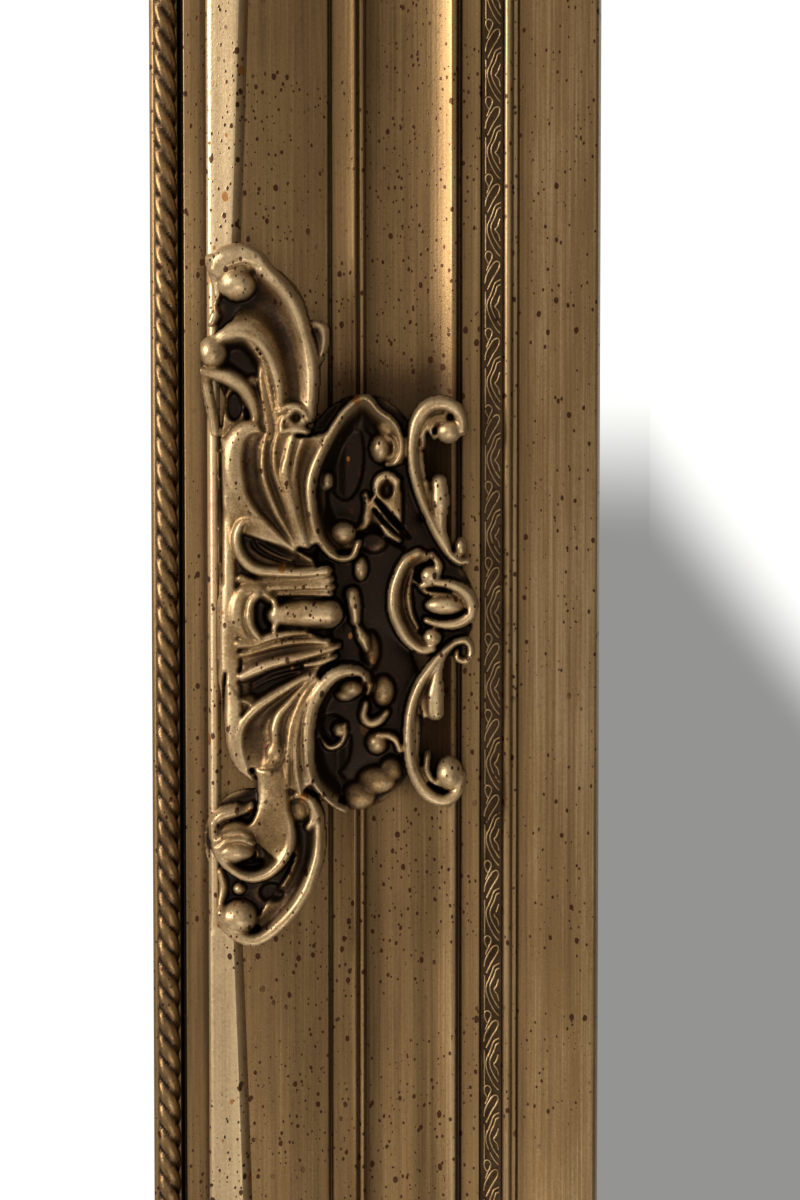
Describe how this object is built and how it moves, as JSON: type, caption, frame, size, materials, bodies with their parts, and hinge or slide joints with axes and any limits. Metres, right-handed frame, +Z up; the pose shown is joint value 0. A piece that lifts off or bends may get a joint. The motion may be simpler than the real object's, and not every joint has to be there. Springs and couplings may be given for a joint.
{
  "type": "cheval floor mirror",
  "caption": "Full-length bevelled floor mirror in a swept gilded frame with applied scroll ornaments, leaning on a folding easel stand hinged to its back.",
  "frame": {"origin": "on the floor, under the middle of the mirror's bounding box", "axes": "+X across the mirror from its left to its right as seen from the front, -Y out of the glass towards the viewer, +Z up"},
  "size_m": [0.62, 0.4184, 1.7427],
  "materials": {
    "gilded_wood": "satin champagne-gold gilding over wood, brown patina and dark specks",
    "gilded_highlight": "burnished pale champagne gilding with brown specks",
    "gilded_trim": "dark antiqued gold over pressed composition",
    "gilded_resin": "antiqued gold over cast resin, dark in the recesses",
    "silvered_glass": "polished bevelled mirror",
    "rubber": "matte",
    "felt": "soft felt",
    "board": "brown hardboard",
    "hinge_brass": "satin brass",
    "zinc_steel": "zinc-plated",
    "beech": "plain beech",
    "stand_wood": "dark brown stained wood, satin"
  },
  "bodies": {
    "mirror_frame": {"back_board": "board", "back_board_screws": "zinc_steel", "backing_felt": "felt", "bottom_cartouche": "gilded_resin", "bottom_lace": "gilded_trim", "bottom_left_corner_scroll": "gilded_resin", "bottom_rail": "gilded_wood", "bottom_right_corner_scroll": "gilded_resin", "bottom_rope": "gilded_trim", "bottom_slip": "gilded_wood", "bottom_swept_edge": "gilded_highlight", "corner_plate_screws": "zinc_steel", "corner_plates": "zinc_steel", "frame_leaf_screws": "zinc_steel", "left_cartouche": "gilded_resin", "left_frame_foot": "rubber", "left_frame_leaf": "hinge_brass", "left_hinge_pin": "hinge_brass", "left_lace": "gilded_trim", "left_rope": "gilded_trim", "left_slip": "gilded_wood", "left_stile": "gilded_wood", "left_swept_edge": "gilded_highlight", "mirror_glass": "silvered_glass", "rebate_pads": "rubber", "right_cartouche": "gilded_resin", "right_frame_foot": "rubber", "right_frame_leaf": "hinge_brass", "right_hinge_pin": "hinge_brass", "right_lace": "gilded_trim", "right_rope": "gilded_trim", "right_slip": "gilded_wood", "right_stile": "gilded_wood", "right_swept_edge": "gilded_highlight", "top_cartouche": "gilded_resin", "top_lace": "gilded_trim", "top_left_corner_scroll": "gilded_resin", "top_rail": "gilded_wood", "top_right_corner_scroll": "gilded_resin", "top_rope": "gilded_trim", "top_slip": "gilded_wood", "top_swept_edge": "gilded_highlight"},
    "easel_stand": {"left_leg": "stand_wood", "left_stand_foot": "rubber", "left_stand_leaf": "hinge_brass", "right_leg": "stand_wood", "right_stand_foot": "rubber", "right_stand_leaf": "hinge_brass", "stand_bottom_rail": "stand_wood", "stand_dowels": "beech", "stand_leaf_screws": "zinc_steel", "stand_middle_rail": "stand_wood", "stand_top_rail": "stand_wood"}
  },
  "joints": [
    {"name": "stand_fold", "type": "hinge", "parent": "mirror_frame", "child": "easel_stand", "pos_m": [0, 0.00767, 1.24335], "axis": [-1, 0, 0], "range_deg": [0, 16]}
  ]
}
